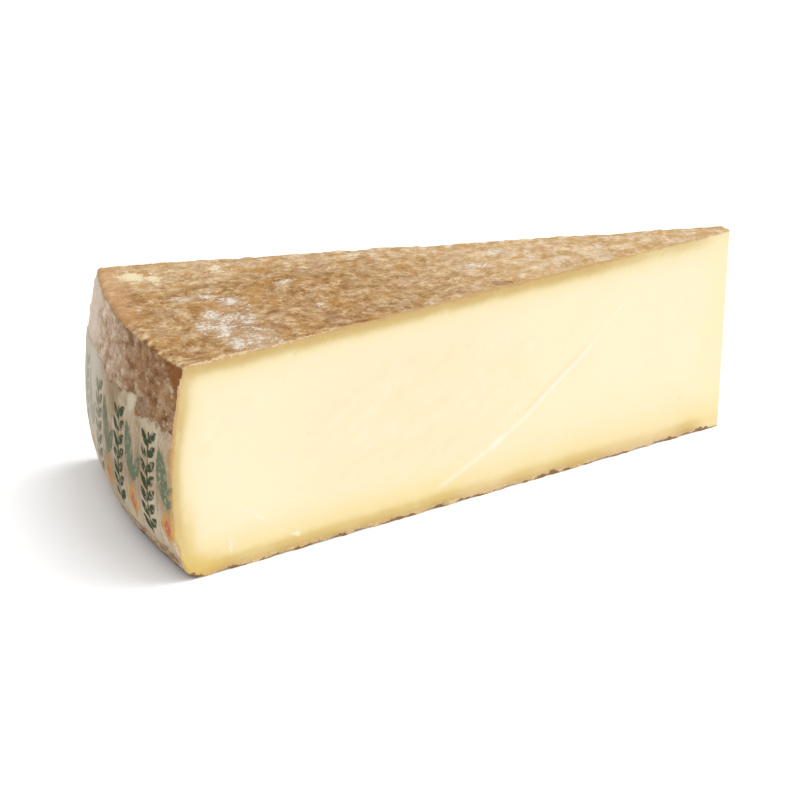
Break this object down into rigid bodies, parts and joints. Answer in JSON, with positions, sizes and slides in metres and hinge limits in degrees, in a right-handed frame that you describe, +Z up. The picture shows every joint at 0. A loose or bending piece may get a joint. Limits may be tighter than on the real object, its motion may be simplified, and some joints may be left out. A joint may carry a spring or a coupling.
{
  "type": "cheese wedge",
  "caption": "Wedge of hard pressed cheese cut from a wheel, with a rough brown rind, smooth pale cut faces, a blunt nose and a printed paper band round its convex heel.",
  "frame": {"origin": "on the flat base, half-way along the wedge's centre line", "axes": "+X from the heel to the nose along the wedge's centre line, +Z up from the base, the cut faces mirrored about Y = 0"},
  "size_m": [0.3094, 0.1464, 0.1018],
  "materials": {
    "cheese": "smooth pale paste on the cuts, rough dry brown rind outside",
    "band_paper": "matte faded printed paper"
  },
  "bodies": {
    "root": {"cheese_wedge": "cheese", "heel_band": "band_paper"}
  },
  "joints": []
}
